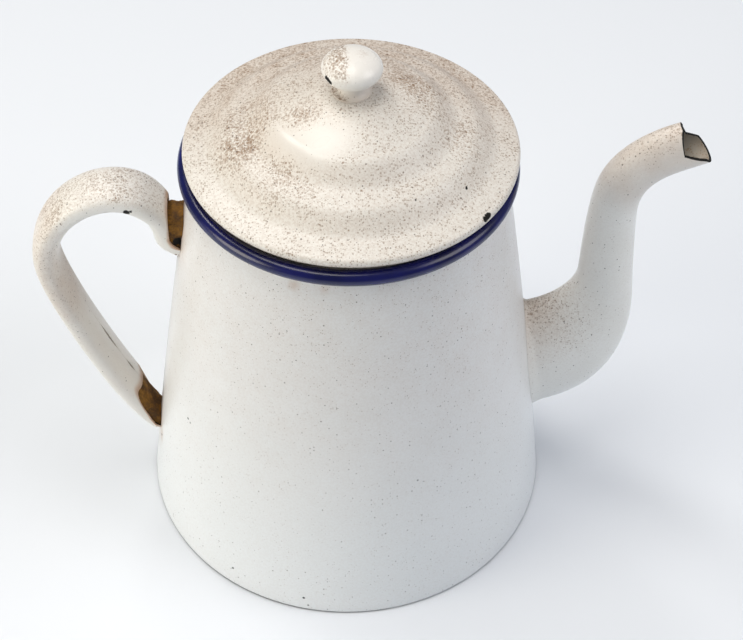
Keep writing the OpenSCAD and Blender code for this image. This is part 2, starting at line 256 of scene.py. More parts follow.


# %% [markdown]
# The enamel is built up in layers, most of them as the real one aged: the glass's own faint clouds,
# stains, a dull film that is dust and, inside the spout, painted shade, fine grain and specks, and
# last the bare steel that shows through where the glass has gone. Each step lays one colour over
# the last. Noise makes the clouds and ragged edges, and the specks come from Voronoi cells in three
# sizes, each with its own luck.


# %% Patterns in the white enamel
CLOUDS_MM = 30.0
PATCHES_MM = 9.0
RAGGED_MM = 1.6
GRAIN_MM = 0.8
FINE_CELL_MM = 0.6
SMALL_CELL_MM = 1.1
LARGE_CELL_MM = 1.3
LARGE_CRISPNESS = 30.0
CLEAN_ROUGHNESS = 0.19
ENAMEL_RELIEF_MM = 0.35


def chipped(tree, place, ragged, worn, chips):
    """Adds a ragged round chip of bare steel at each place."""
    for point, radius_mm in chips:
        reach = tree.distance_mm(place, point) + (ragged - 0.5) * 1.5
        worn = worn.at_least((radius_mm - reach).above(0.0, 4.0))
    return worn


def white_enamel(name, chips=(), cream=CREAM, shade=CREAM_SHADE):
    material, tree = new_material(name)
    place = tree.place()
    grime, rust, bare = tree.layer("grime"), tree.layer("rust"), tree.layer("bare")
    dust = tree.layer("dust")
    clouds = tree.noise(place, CLOUDS_MM, 3.0)
    patches = tree.noise(place, PATCHES_MM, 4.0, 0.65)
    ragged = tree.noise(place, RAGGED_MM, 3.0, 0.6)
    grain = tree.noise(place, GRAIN_MM, 2.0, 0.7)
    colour = tree.mix(clouds.above(0.42, 3.0), cream, shade)
    stained = (rust * (0.3 + patches * 1.4)).clamp()
    colour = tree.mix(stained * 0.85, colour, STAIN)
    # The dull brown film of the dust layer: dust, and inside the spout painted shade.
    colour = tree.mix((dust * (0.7 + patches * 0.6)).clamp(), colour, DUST_AND_SHADE)
    density = (grime * (0.72 + patches.above(0.32, 2.6) * 0.5)).clamp()
    colour = tree.mix(grain.above(0.44, 7.0) * grime * grime * 0.85, colour, GRAIN_BROWN)
    fine = tree.specks(place, FINE_CELL_MM, density * 1.2, 1.0)
    small = tree.specks(place, SMALL_CELL_MM, density * 0.95 - 0.12, 0.8)
    large = tree.specks(place, LARGE_CELL_MM, 0.28 + density * 0.2, 0.65, LARGE_CRISPNESS)
    colour = tree.mix(fine * 0.5, colour, SPECK_BROWN)
    colour = tree.mix(small * 0.7, colour, SPECK_BROWN)
    colour = tree.mix(large * 0.8, colour, SPECK_DARK)
    worn = (bare * 1.7 + ragged * 0.9).above(1.05, 6.0)
    worn = chipped(tree, place, ragged, worn, chips)
    colour = tree.mix(worn, colour, BARE_STEEL)
    rough = CLEAN_ROUGHNESS + clouds * 0.1 + density * 0.3 + stained * 0.3 + dust * 0.3
    rough = (rough + worn * 0.6).clamp()
    relief = clouds * 0.1 + ragged * 0.04 - worn * 0.6 - small * 0.15
    finish_material(tree, material, colour, rough, relief, ENAMEL_RELIEF_MM)
    return material


print("specks in cells of", FINE_CELL_MM, SMALL_CELL_MM, LARGE_CELL_MM, "mm")

# %% [markdown]
# The rim was dipped again in dark blue. It's the same glass with cobalt in it. It could be one more
# layer of the white enamel, but the rim is a piece of its own with one clean edge, so it's simpler
# to give it a material of its own, with no layers and only a few specks.

# %% Blue enamel
BLUE = (0.003, 0.004, 0.055, 1)
BLUE_LIGHT = (0.005, 0.006, 0.11, 1)


def blue_enamel():
    material, tree = new_material("blue_enamel")
    place = tree.place()
    clouds = tree.noise(place, 12.0, 3.0)
    ragged = tree.noise(place, 1.4, 3.0, 0.6)
    specks = tree.specks(place, 3.0, 0.18, 0.7)
    colour = tree.mix(clouds.above(0.4, 3.0), BLUE, BLUE_LIGHT)
    colour = tree.mix(specks, colour, BARE_STEEL)
    rough = 0.18 + clouds * 0.12 + specks * 0.4
    finish_material(tree, material, colour, rough, clouds * 0.5 + ragged * 0.06 - specks * 0.4, 0.3)
    return material


BLUE_ENAMEL = blue_enamel()
print("made", BLUE_ENAMEL.name)

# %% [markdown]
# The handle's brackets have lost their enamel altogether. Rust is several browns at once, from
# near black to orange, and it is never smooth, so its colour and its relief both come from layers
# of noise. A colour ramp turns the noise into browns, because its stops can be read off as a list.
# In one place, near the foot of the upper bracket, the rust has eaten a hole. The mesh has only a
# shallow pit there, so its dark inside is painted: dark rust, and painted shade for the hole's
# depth.


# %% Rusted steel
RUST_STOPS = [
    (0.30, (0.022, 0.012, 0.004, 1)),
    (0.44, (0.090, 0.038, 0.005, 1)),
    (0.55, (0.215, 0.095, 0.008, 1)),
    (0.70, (0.360, 0.170, 0.025, 1)),
]
PIT_AT = (-58.2, -6.6, 125.6)
PIT_RUST_AND_SHADE_R = 2.6


def rusted_steel():
    material, tree = new_material("rusted_steel")
    place = tree.place()
    scale = tree.noise(place, 5.0, 6.0, 0.7)
    grain = tree.noise(place, 0.8, 3.0, 0.6)
    shade = (scale * 0.75 + grain * 0.25).clamp()
    colour = tree.node("ShaderNodeValToRGB", {"stops": RUST_STOPS}, {"Fac": shade})
    # The pit is painted near-black: dark rust, and painted shade for a hole's depth that the mesh
    # doesn't have.
    pit_rust_and_shade = (PIT_RUST_AND_SHADE_R - tree.distance_mm(place, PIT_AT) - grain).above(0.0, 2.5)
    colour = tree.mix(pit_rust_and_shade, colour, BARE_STEEL)
    finish_material(tree, material, colour, 0.75 + grain * 0.2, scale + grain * 0.4 - pit_rust_and_shade, 0.9)
    return material


RUSTED_STEEL = rusted_steel()
print("materials:", [m.name for m in bpy.data.materials])

# %% [markdown]
# ## Making meshes
# Everything on this pot is either turned round an axis or swept along a line. The Screw modifier
# and a bevelled curve could make such shapes, but neither can vary its section as this spout and
# handle do. Both give a net of points in rows, so one function turns rows of points into a closed
# mesh. The mesh is scaled to metres there, its doubled points at a pole are merged, an edge that
# is left there without faces is removed, and the mesh is turned inside out if its volume comes out
# negative, so its faces always point outwards.


# %% Mesh helpers
def net_faces(rows, columns):
    """Quads over a net whose rows and columns both close on themselves."""
    faces = []
    for i in range(rows):
        for j in range(columns):
            a, b = i * columns + j, i * columns + (j + 1) % columns
            c, d = ((i + 1) % rows) * columns + (j + 1) % columns, ((i + 1) % rows) * columns + j
            faces.append((a, b, c, d))
    return faces


SHARP_ANGLE = math.radians(35)
MERGE_MM = 0.002


def make_piece(name, points, faces, material, body, layers=None):
    mesh = bpy.data.meshes.new(name)
    mesh.from_pydata([Vector(p) * MM for p in points], [], faces)
    for layer, values in (layers or {}).items():
        mesh.attributes.new(layer, "FLOAT", "POINT").data.foreach_set("value", values)
    work = bmesh.new()
    work.from_mesh(mesh)
    bmesh.ops.remove_doubles(work, verts=work.verts, dist=MERGE_MM * MM)
    loose = [edge for edge in work.edges if edge.is_wire]
    bmesh.ops.delete(work, geom=loose, context="EDGES")
    if work.calc_volume(signed=True) < 0:
        bmesh.ops.reverse_faces(work, faces=work.faces)
    work.to_mesh(mesh)
    work.free()
    piece = bpy.data.objects.new(name, mesh)
    bpy.context.scene.collection.objects.link(piece)
    mesh.materials.append(material)
    mesh.shade_smooth()
    mesh.set_sharp_from_angle(angle=SHARP_ANGLE)
    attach(piece, body)
    print(f"{name}: {len(mesh.polygons)} faces")
    return piece


def turned(name, section, material, body, centre_x=0.0, steps=256):
    """A closed section of (radius, height) points, turned round the vertical axis."""
    points = []
    for i in range(steps):
        angle = 2 * math.pi * i / steps
        for radius, height in section:
            points.append((centre_x + radius * math.cos(angle), radius * math.sin(angle), height))
    faces = net_faces(steps, len(section))
    return make_piece(name, points, faces, material, body)


def paint(piece, layer, rule):
    """Stores rule(x, y, z, normal) for each point, in millimetres, as a layer from 0 to 1."""
    mesh = piece.data
    store = mesh.attributes.new(layer, "FLOAT", "POINT")
    values = []
    for vertex in mesh.vertices:
        x, y, z = vertex.co / MM
        values.append(max(0.0, min(1.0, rule(x, y, z, vertex.normal))))
    store.data.foreach_set("value", values)
    print(f"{piece.name} {layer}: {sum(values) / len(values):.2f} on average")


def mix(a, b, t):
    return a * (1 - t) + b * t


def ease(t):
    t = max(0.0, min(1.0, t))
    return (1 - math.cos(math.pi * t)) / 2


def arc(centre, radius, start, end, steps):
    """Points of an arc in a section, from one angle to another, in degrees."""
    found = []
    for i in range(steps + 1):
        angle = math.radians(mix(start, end, i / steps))
        found.append((centre[0] + radius * math.cos(angle), centre[1] + radius * math.sin(angle)))
    return found


# %% [markdown]
# ## Body
# The body is a sheet rolled into a cone and seamed, with a foot turned in at the bottom. Its
# section is nearly straight: it leans in all the way up and swells by about a millimetre at
# mid-height. That one curve is a function, because the spout, the handle and the base disc all
# have to meet it.


# %% Wall
FOOT_W = 4.0
WALL_STEPS = 48


def wall_r(z):
    rise = z / RIM_H
    return FOOT_R + (MOUTH_R - FOOT_R) * rise + BELLY * 4 * rise * (1 - rise)


def wall_x(y, z):
    return math.sqrt(wall_r(z) ** 2 - y * y)


heights = [mix(SHEET, RIM_H, i / WALL_STEPS) for i in range(WALL_STEPS + 1)]
foot_corner = arc((wall_r(SHEET) - SHEET, SHEET), SHEET, -90, 0, 8)
outside = [(wall_r(z), z) for z in heights[1:]]
inside = [(wall_r(z) - SHEET, z) for z in reversed(heights)]
foot_end_r = wall_r(SHEET) - FOOT_W
wall_section = foot_corner + outside + inside + [(foot_end_r, SHEET), (foot_end_r, 0.0)]
WALL_CHIPS = [
    ((-58.3, -32.5, 63.8), 0.55),
    ((-57.3, -33.9, 63.2), 0.5),
    ((-44.7, -58.9, 8.4), 0.55),
    ((-18.9, -71.8, 6.2), 0.6),
    ((-17.5, -72.6, 2.7), 0.5),
    ((21.5, -63.1, 63.3), 0.4),
    ((-70.4, -10.9, 28.6), 0.5),
    ((-71.2, -9.8, 27.4), 0.5),
]
POT_CREAM = (0.80, 0.805, 0.805, 1)
POT_SHADE = (0.78, 0.79, 0.79, 1)
POT_ENAMEL = white_enamel("white_enamel_pot", WALL_CHIPS, POT_CREAM, POT_SHADE)
wall = turned("pot_wall", wall_section, POT_ENAMEL, "pot")

# %% [markdown]
# Coffee leaves the body through a strainer: rows of round holes punched in the wall behind the
# spout. Holes that repeat on a pattern are a good use of Geometry Nodes. A grid of points is
# shifted row by row into a honeycomb, the points outside the spout's root are dropped, a short
# rod lies on each point that is left, and a Boolean takes all the rods from the wall at once. The
# exact solver is asked for, because the quick one can leave some of the holes' edges open.

# %% Strainer holes
ROOT_LOW = 32.0
ROOT_HIGH = 83.0
ROOT_W = 22.0
HOLE_D = 4.0
HOLE_PITCH = 6.5
STRAINER_Z = (ROOT_LOW + ROOT_HIGH) / 2
STRAINER_HALF_W = ROOT_W / 2 - SHEET - HOLE_D
STRAINER_HALF_H = (ROOT_HIGH - ROOT_LOW) / 2 - SHEET - HOLE_D


def new_modifier_tree(name, inputs):
    """A Geometry Nodes tree with named number inputs; returns it with its input wires."""
    group = bpy.data.node_groups.new(name, "GeometryNodeTree")
    group.interface.new_socket("Geometry", in_out="INPUT", socket_type="NodeSocketGeometry")
    group.interface.new_socket("Geometry", in_out="OUTPUT", socket_type="NodeSocketGeometry")
    for label in inputs:
        group.interface.new_socket(label, in_out="INPUT", socket_type="NodeSocketFloat")
    tree = NodeTree(group)
    start = tree.node("NodeGroupInput")
    return group, tree, start


def end_tree(group, tree, geometry, material):
    """Every tree ends in real geometry that carries its material."""
    real = tree.node("GeometryNodeRealizeInstances", None, {"Geometry": geometry})
    dressed = tree.node("GeometryNodeSetMaterial", None, {"Geometry": real, "Material": material})
    tree.node("NodeGroupOutput", None, {"Geometry": dressed})


def run_tree(piece, group, values):
    """Puts the tree on the piece with these input values and returns the mesh that it makes."""
    modifier = piece.modifiers.new(group.name, "NODES")
    modifier.node_group = group
    for item in group.interface.items_tree:
        if item.in_out == "INPUT" and item.name in values:
            modifier[item.identifier] = values[item.name]
    bpy.context.view_layer.update()
    evaluated = piece.evaluated_get(bpy.context.evaluated_depsgraph_get())
    mesh = bpy.data.meshes.new_from_object(evaluated)
    piece.modifiers.remove(modifier)
    return mesh


def strainer_tree():
    labels = ["Hole width", "Pitch", "Height", "Half width", "Half height", "Wall at"]
    group, tree, start = new_modifier_tree("strainer", labels)
    width, pitch, middle, half_w, half_h, wall_at = [start.other(label) for label in labels]
    row_pitch = pitch * math.sin(math.radians(60))
    grid_size = {"Size X": 10.0, "Size Y": 8.0, "Vertices X": 11, "Vertices Y": 9}
    grid = tree.node("GeometryNodeMeshGrid", None, grid_size)
    points = tree.node("GeometryNodeMeshToPoints", None, {"Mesh": grid})
    at = tree.node("ShaderNodeSeparateXYZ", None, {0: tree.node("GeometryNodeInputPosition")})
    row, column = at, at.other("Y")
    odd_row = row.math("PINGPONG", row, 1.0)
    across = (column + odd_row * 0.5) * pitch
    upward = row * row_pitch
    spot = tree.node("ShaderNodeCombineXYZ", None, {0: wall_at, 1: across, 2: middle + upward})
    placed = tree.node("GeometryNodeSetPosition", None, {"Geometry": points, "Position": spot})
    now = tree.node("ShaderNodeSeparateXYZ", None, {0: tree.node("GeometryNodeInputPosition")})
    outside_root = (now.other("Y") / half_w) ** 2.0 + ((now.other("Z") - middle) / half_h) ** 2.0
    too_far = outside_root.math("GREATER_THAN", outside_root, 1.0)
    kept = tree.node("GeometryNodeDeleteGeometry", None, {"Geometry": placed, "Selection": too_far})
    rod_size = {"Vertices": 32, "Radius": width / 2, "Depth": width * 4}
    rod = tree.node("GeometryNodeMeshCylinder", None, rod_size)
    lying = {"Points": kept, "Instance": rod, "Rotation": (0.0, math.pi / 2, 0.0)}
    rods = tree.node("GeometryNodeInstanceOnPoints", None, lying)
    rods = tree.node("GeometryNodeRealizeInstances", None, {"Geometry": rods})
    settings = {"operation": "DIFFERENCE", "solver": "EXACT"}
    cut = tree.node("GeometryNodeMeshBoolean", settings, {0: start, 1: rods})
    end_tree(group, tree, cut, POT_ENAMEL)
    return group


strainer_sizes = {
    "Hole width": HOLE_D * MM,
    "Pitch": HOLE_PITCH * MM,
    "Height": STRAINER_Z * MM,
    "Half width": (STRAINER_HALF_W + 1) * MM,
    "Half height": (STRAINER_HALF_H + 1) * MM,
    "Wall at": wall_r(STRAINER_Z) * MM,
}
punched = run_tree(wall, strainer_tree(), strainer_sizes)
wall.data = punched
punched.shade_smooth()
punched.set_sharp_from_angle(angle=SHARP_ANGLE)
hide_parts("body_wall")
print("wall with strainer holes:", len(punched.polygons), "faces")

# %% [markdown]
# The wall's layers: a light dusting of specks everywhere, a little more under the rim, a rust
# halo where the handle and the spout are joined on, two stains under the bead, and a thin
# near-black line along the edge of the foot. Inside, coffee has left a tan stain that deepens
# towards the bottom. Each layer is a rule for a point, so it can follow height and distance
# without any unwrapping.


# %% Layers of the wall
UPPER_JOINT_Z = 126.5
LOWER_JOINT_Z = 29.5
ROOT_TOP_Z = 78.0


def near(x, y, z, point, reach):
    """1 at the point, falling to 0 at the reach."""
    gap = math.dist((x, y, z), point)
    return 1 - ease(gap / reach)


def soft_patches(x, y, z, places):
    """The sum of soft round patches, each with its middle, its reach and its strength."""
    return sum(strength * near(x, y, z, middle, reach) for middle, reach, strength in places)


def faces_inward(x, y, normal):
    return x * normal.x + y * normal.y < 0


RUST_PATCHES = [
    ((-wall_r(UPPER_JOINT_Z), 0.0, UPPER_JOINT_Z), 17.0, 0.5),
    ((-wall_r(LOWER_JOINT_Z), 0.0, LOWER_JOINT_Z), 17.0, 0.55),
    ((wall_r(ROOT_TOP_Z), 0.0, ROOT_TOP_Z), 17.0, 0.3),
    ((-19.5, -50.2, 149.5), 3.0, 0.6),
    ((-9.8, -52.8, 149.8), 3.0, 0.4),
    ((-70.8, -10.4, 28.0), 4.0, 0.5),
]


def wall_grime(x, y, z, normal):
    if faces_inward(x, y, normal):
        return 0.30
    return 0.28 + 0.06 * ease((z - 60) / 70)


def wall_rust(x, y, z, normal):
    if faces_inward(x, y, normal):
        return 0.30 + 0.35 * ease((60 - z) / 60)
    return 0.15 * ease((z - 10) / 110) + soft_patches(x, y, z, RUST_PATCHES)


# A thin near-black line along the bottom millimetre of the foot.
def wall_dark_foot_line(x, y, z, normal):
    return 0.9 * ease(1.0 - z)


paint(wall, "grime", wall_grime)
paint(wall, "rust", wall_rust)
paint(wall, "bare", wall_dark_foot_line)

# %% [markdown]
# ## Base
# The bottom is a separate disc with its edge turned down, let into the wall just above the foot.
# A flat cylinder would show a sharp edge there, so the disc's section is drawn with its bend and
# turned like the wall. Inside it has the same coffee stain, and rust has started underneath.

# %% Base disc
BASE_RISE = 4.0
EDGE_GAP = 0.05


def fit_r(z):
    return wall_r(z) - SHEET - EDGE_GAP


base_top = BASE_RISE + SHEET
edge_r = fit_r(SHEET) - SHEET
base_section = [(0.0, BASE_RISE), (edge_r - SHEET, BASE_RISE)]
base_section += arc((edge_r - SHEET, BASE_RISE - SHEET), SHEET, 90, 0, 6)[1:]
base_section += [(edge_r, SHEET), (fit_r(SHEET), SHEET)]
base_section += [(fit_r(base_top - SHEET), base_top - SHEET)]
base_section += arc((fit_r(base_top) - SHEET, base_top - SHEET), SHEET, 8, 90, 6)
base_section += [(fit_r(base_top) * k / 12, base_top) for k in range(11, -1, -1)]
base = turned("base_disc", base_section, POT_ENAMEL, "pot")
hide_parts("base_plate")


def base_rust(x, y, z, normal):
    if normal.z > 0.5:
        return 0.6
    return 0.25 + 0.3 * near(x, y, 0, (20, 10, 0), 40)


paint(base, "grime", lambda x, y, z, normal: 0.35)
paint(base, "rust", base_rust)
paint(base, "bare", lambda x, y, z, normal: 0.0)

# %% [markdown]
# ## Rolled rim
# The top of the wall is rolled outwards round itself into a bead. A torus would do, but a small
# section swept round a circle says what the maker does, and Geometry Nodes do it with Curve to
# Mesh: one circle is the path and a smaller one is the section. The inside of the roll is never
# seen, so the bead is one closed ring.


# %% Rim bead
BEAD_STEPS = 256
BEAD_SIDES = 40


def bead_tree():
    labels = ["Ring radius", "Bead radius", "Height"]
    group, tree, start = new_modifier_tree("rim_bead", labels)
    ring_r, bead_r, height = [start.other(label) for label in labels]
    path = {"Resolution": BEAD_STEPS, "Radius": ring_r}
    ring = tree.node("GeometryNodeCurvePrimitiveCircle", None, path)
    raised = tree.node("ShaderNodeCombineXYZ", None, {2: height})
    ring = tree.node("GeometryNodeTransform", None, {"Geometry": ring, "Translation": raised})
    outline = {"Resolution": BEAD_SIDES, "Radius": bead_r}
    section = tree.node("GeometryNodeCurvePrimitiveCircle", None, outline)
    swept = {"Curve": ring, "Profile Curve": section}
    bead = tree.node("GeometryNodeCurveToMesh", None, swept)
    bead = tree.node("GeometryNodeSetShadeSmooth", None, {"Geometry": bead})
    end_tree(group, tree, bead, BLUE_ENAMEL)
    return group


bead_holder = bpy.data.objects.new("bead_holder", bpy.data.meshes.new("bead_holder"))
bpy.context.scene.collection.objects.link(bead_holder)
bead_sizes = {
    "Ring radius": BEAD_RING_R * MM,
    "Bead radius": BEAD_R * MM,
    "Height": RIM_H * MM,
}
bead_mesh = run_tree(bead_holder, bead_tree(), bead_sizes)
bpy.data.objects.remove(bead_holder)
bead = bpy.data.objects.new("rim_bead", bead_mesh)
bpy.context.scene.collection.objects.link(bead)
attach(bead, "pot")
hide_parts("rim_roll")
print("rim bead:", len(bead_mesh.polygons), "faces")

# %% [markdown]
# ## Spout
# The spout is pressed as two halves and welded along the middle, and then enamelled over, so no
# seam shows and one mesh stands for both. A round tube along a curve would be too even for it.
# Seen from the side it's two lines: the inner edge that hugs the body and the outer edge that
# swings out. Each line is a chain of three smooth curves. A ring round the spout is stretched
# between the two lines, and its width narrows from the root to the mouth, whose sides are cut back
# in a notch, the near side further than the far one. The enamel has worn off its edge.


# %% Curves in the middle plane
def bend(start, end, start_angle, end_angle, start_pull, end_pull, t):
    """A smooth line between two points, leaving and arriving at the given angles."""
    keep = 2 * t ** 3 - 3 * t * t + 1
    leave = (t ** 3 - 2 * t * t + t) * start_pull
    reach = 3 * t * t - 2 * t ** 3
    arrive = (t ** 3 - t * t) * end_pull
    a, b = math.radians(start_angle), math.radians(end_angle)
    x = keep * start[0] + leave * math.cos(a) + reach * end[0] + arrive * math.cos(b)
    z = keep * start[1] + leave * math.sin(a) + reach * end[1] + arrive * math.sin(b)
    return Vector((x, z))


def chain(points, angles, pulls, t):
    """The same, along a chain of points; t runs from 0 to 1 over the whole chain."""
    spans = len(points) - 1
    k = min(int(t * spans), spans - 1)
    start, end = points[k], points[k + 1]
    return bend(start, end, angles[k], angles[k + 1], pulls[k], pulls[k], t * spans - k)


# %% Spout
NECK_X = wall_r(ROOT_HIGH) + 18.0
SPOUT_INNER = [
    (wall_r(ROOT_HIGH), ROOT_HIGH),
    (NECK_X, 101.0),
    (NECK_X + 2.0, 140.5),
    (NECK_X + 27.5, 167.0),
]
SPOUT_OUTER = [
    (wall_r(ROOT_LOW), ROOT_LOW),
    (NECK_X + 20.5, 93.0),
    (NECK_X + 17.5, 131.0),
    (NECK_X + 39.5, 153.0),
]
INNER_ANGLES = [10, 89, 79, 17]
OUTER_ANGLES = [12, 97, 90, 25]
INNER_PULLS = [26, 32, 39]
OUTER_PULLS = [87, 21, 41]
SPOUT_WIDTHS = [ROOT_W, 15.0, 14.0, 11.5]
LIP_SPREAD = 0.35
NEAR_NOTCH = 0.0405
FAR_NOTCH = 0.0210
NOTCH_FROM_T = 0.8
ROOT_FILLET = 1.1
ROOT_FILLET_T = 0.022
SPOUT_RINGS = 170
SPOUT_SIDES = 96


def spout_width(t):
    k = min(int(t * 3), 2)
    return mix(SPOUT_WIDTHS[k], SPOUT_WIDTHS[k + 1], ease(t * 3 - k))


def notch_depth(angle):
    """How far the mouth is cut back at an angle round it, as a share of the spout's length."""
    around = abs(math.degrees(math.remainder(angle, 2 * math.pi)))
    rising = (around - 20) / 70
    if math.sin(angle) > 0:
        return FAR_NOTCH * max(0.0, min(rising, (113 - around) / 23))
    return NEAR_NOTCH * max(0.0, min(rising, (125 - around) / 35))


def spout_point(t, angle, inset):
    """A point at t along the spout and at an angle round it; 0 is the inner edge."""
    t -= notch_depth(angle) * ease((t - NOTCH_FROM_T) / (1 - NOTCH_FROM_T))
    inner = chain(SPOUT_INNER, INNER_ANGLES, INNER_PULLS, t)
    outer = chain(SPOUT_OUTER, OUTER_ANGLES, OUTER_PULLS, t)
    across = (inner - outer) / 2
    fillet = ROOT_FILLET * max(0.0, 1 - t / ROOT_FILLET_T) ** 2 if inset == 0 else 0.0
    half = across.length - inset + fillet
    p = (inner + outer) / 2 + across.normalized() * half * math.cos(angle)
    lip = 1 + LIP_SPREAD * ease(t * 3 - 2) ** 4 * max(0.0, -math.cos(angle))
    y = (spout_width(t) / 2 * lip - inset + fillet) * math.sin(angle)
    seat = wall_x(y, p.y) + EDGE_GAP
    x = seat if t < 0.0001 else max(p.x, seat)
    return (x, y, p.y)


def spout_stations():
    """Even steps along the spout, and closer ones where the worn edge of the mouth is."""
    even = [i / SPOUT_RINGS for i in range(SPOUT_RINGS)]
    return even + [0.9965, 0.9972, 0.998, 0.999, 1.0]


def spout_rust(t, angle, inset):
    """Tan from the upper bend to the mouth and just inside it; on the root's top, stain and painted
    shade.
    """
    if inset:
        return 0.35 * ease((t - 0.965) / 0.03)
    # On top of the root, where it meets the wall, the tan is partly stain and partly painted shade.
    root_top_stain_and_shade = 0.3 * ease((0.22 - t) / 0.2) * max(0.0, math.cos(angle))
    return 0.32 * ease((t - 0.62) / 0.15) + root_top_stain_and_shade


print(f"spout reaches {SPOUT_OUTER[-1][0]:.1f} mm out and {SPOUT_INNER[-1][1]:.1f} mm up")

# %% Spout mesh
stations = [(t, 0.0) for t in spout_stations()]
stations += [(t, SHEET) for t in reversed(spout_stations())]
spout_points = []
spout_layers = {"bare": [], "rust": [], "dust": []}
for t, inset in stations:
    for j in range(SPOUT_SIDES):
        angle = 2 * math.pi * j / SPOUT_SIDES
        spout_points.append(spout_point(t, angle, inset))
        spout_layers["bare"].append(ease((t - 0.9972) / 0.0010))
        spout_layers["rust"].append(spout_rust(t, angle, inset))
        # The whole inside of the spout gets the dust layer: painted shade under a dull brown film.
        spout_layers["dust"].append(0.75 if inset else 0.0)
SPOUT_ENAMEL = white_enamel("white_enamel_spout", (), PALE_CREAM, CREAM)
spout_faces = net_faces(len(stations), SPOUT_SIDES)
spout = make_piece(
    "spout", spout_points, spout_faces, SPOUT_ENAMEL, "pot", spout_layers
)
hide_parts("spout_left", "spout_right")

# %% [markdown]
# ## Handle
# The handle is sheet folded into a flattened tube, open along a seam down the inside of the
# loop. Its middle line leaves the wall level, turns up into an elbow, goes over the top and
# sweeps down to the wall again. Its section is neither a circle nor a box, but a rounded shape
# between them, which a power of the sine and the cosine gives. That section is placed square to
# the middle line at each step.

# %% Handle
HANDLE_TOP = (-wall_r(UPPER_JOINT_Z), UPPER_JOINT_Z)
ELBOW = (-MOUTH_R - 12.4, RIM_H - 18.2)
BOW = (-FOOT_R - 29.0, RIM_H - 39.0)
HANDLE_FOOT = (-wall_r(LOWER_JOINT_Z), LOWER_JOINT_Z)
ELBOW_ANGLE = 123
ELBOW_T, BOW_T, FLARE_T, NARROW_T, FOOT_T = 0.08, 0.5, 0.045, 0.13, 0.8
HANDLE_T, HANDLE_W, END_H, END_W = 9.2, 18.8, 19.0, 15.0
HANDLE_LENGTH = 175.0
SQUARE = 2.5
TIP_TUCK = 2.6
TIP_TUCK_T = 0.014
HANDLE_RINGS = 240
HANDLE_SIDES = 80


def handle_mid(t):
    if t < ELBOW_T:
        return bend(HANDLE_TOP, ELBOW, 180, ELBOW_ANGLE, 18, 10, t / ELBOW_T)
    if t < BOW_T:
        return bend(ELBOW, BOW, ELBOW_ANGLE, -90, 66, 71, (t - ELBOW_T) / (BOW_T - ELBOW_T))
    return bend(BOW, HANDLE_FOOT, -90, -48, 44, 44, (t - BOW_T) / (1 - BOW_T))


def handle_out(t):
    """The direction from the middle line to the outside of the loop."""
    along = handle_mid(min(t + 0.004, 1)) - handle_mid(max(t - 0.004, 0))
    return Vector((along.y, -along.x)).normalized()


def signed_pow(value, power):
    return math.copysign(abs(value) ** power, value)


def handle_point(t, angle, inset):
    """A point at t along the handle; angle 0 is the loop's outside and pi its inside."""
    end_h = 1 - ease(t / FLARE_T)
    end_w = max(1 - ease(t / NARROW_T), ease((t - FOOT_T) / (1 - FOOT_T)))
    half_t = mix(HANDLE_T, END_H, end_h) / 2 - inset
    half_w = mix(HANDLE_W, END_W, end_w) / 2 - inset
    tip = TIP_TUCK * max(0.0, 1 - t / TIP_TUCK_T) ** 2 * max(0.0, -math.cos(angle)) ** 3
    p = handle_mid(t) + handle_out(t) * (half_t * signed_pow(math.cos(angle), 2 / SQUARE) - tip)
    y = half_w * signed_pow(math.sin(angle), 2 / SQUARE)
    wall_side = -wall_x(y, p.y) - EDGE_GAP
    x = wall_side if t in (0, 1) else min(p.x, wall_side)
    return (x, y, p.y)


print(f"the handle's middle line bows out to {-BOW[0]:.1f} mm")

# %% [markdown]
# The seam is closed for most of its length and has sprung open in two places on the lower half.
# Cutting slits with a Boolean would leave a ragged mesh. Instead the shell's section is a C whose
# ends stand at the seam, so the seam's width is simply how far those ends are apart at each place.
# At the top the shell is cut off square, short of the wall, and only the strip under the loop runs
# on to it. At the foot it's the strip on the outside that does.


# %% Handle shell
SEAM_W = 0.12
SLITS = [(0.741, 0.031, 1.1), (0.817, 0.015, 1.0)]
CUT_X = -61.0
LOWER_CUT_T = 0.86
UPPER_STRIP = (94, 111)
LOWER_STRIP = (80, 150)
UPPER_FADE_MM = 2.2
LOWER_FADE_MM = 3.5


def seam_width(t):
    opening = SEAM_W
    for middle, half_length, width in SLITS:
        opening += width * max(0.0, 1 - ((t - middle) / half_length) ** 2)
    return opening


def square_cut_t(angle):
    """Where the shell passes the plane of the upper cut, found by halving."""
    low, high = 0.0, 0.2
    for _ in range(18):
        middle = (low + high) / 2
        if handle_point(middle, angle, 0.0)[0] > CUT_X:
            low = middle
        else:
            high = middle
    return high


def short_of(degrees, edges):
    """1 below the first edge and 0 above the second, with a straight ramp between."""
    first, second = edges
    return max(0.0, min(1.0, (second - degrees) / (second - first)))


def shell_start(angle):
    return square_cut_t(angle) * short_of(abs(math.degrees(angle)), UPPER_STRIP)


def shell_stop(angle):
    degrees = abs(math.degrees(angle))
    cut = LOWER_CUT_T + 0.012 * ease((degrees - 110) / 70)
    return mix(cut, 1.0, short_of(degrees, LOWER_STRIP) ** 2.4)


def shell_lines():
    """Angles round the shell, each with where its line starts and stops."""
    lines = []
    for i in range(HANDLE_SIDES):
        angle = mix(-math.pi, math.pi, i / (HANDLE_SIDES - 1))
        lines.append((angle, shell_start(angle), shell_stop(angle)))
    return lines


def shell_row(lines, part, inset):
    row = []
    gap = (seam_width(part * LOWER_CUT_T) / HANDLE_W) ** (SQUARE / 2)
    for angle, start, stop in lines:
        row.append(handle_point(mix(start, stop, part), angle * (1 - gap / math.pi), inset))
    return row


print("the seam's slits open to", [round(seam_width(middle), 2) for middle, _, _ in SLITS], "mm")


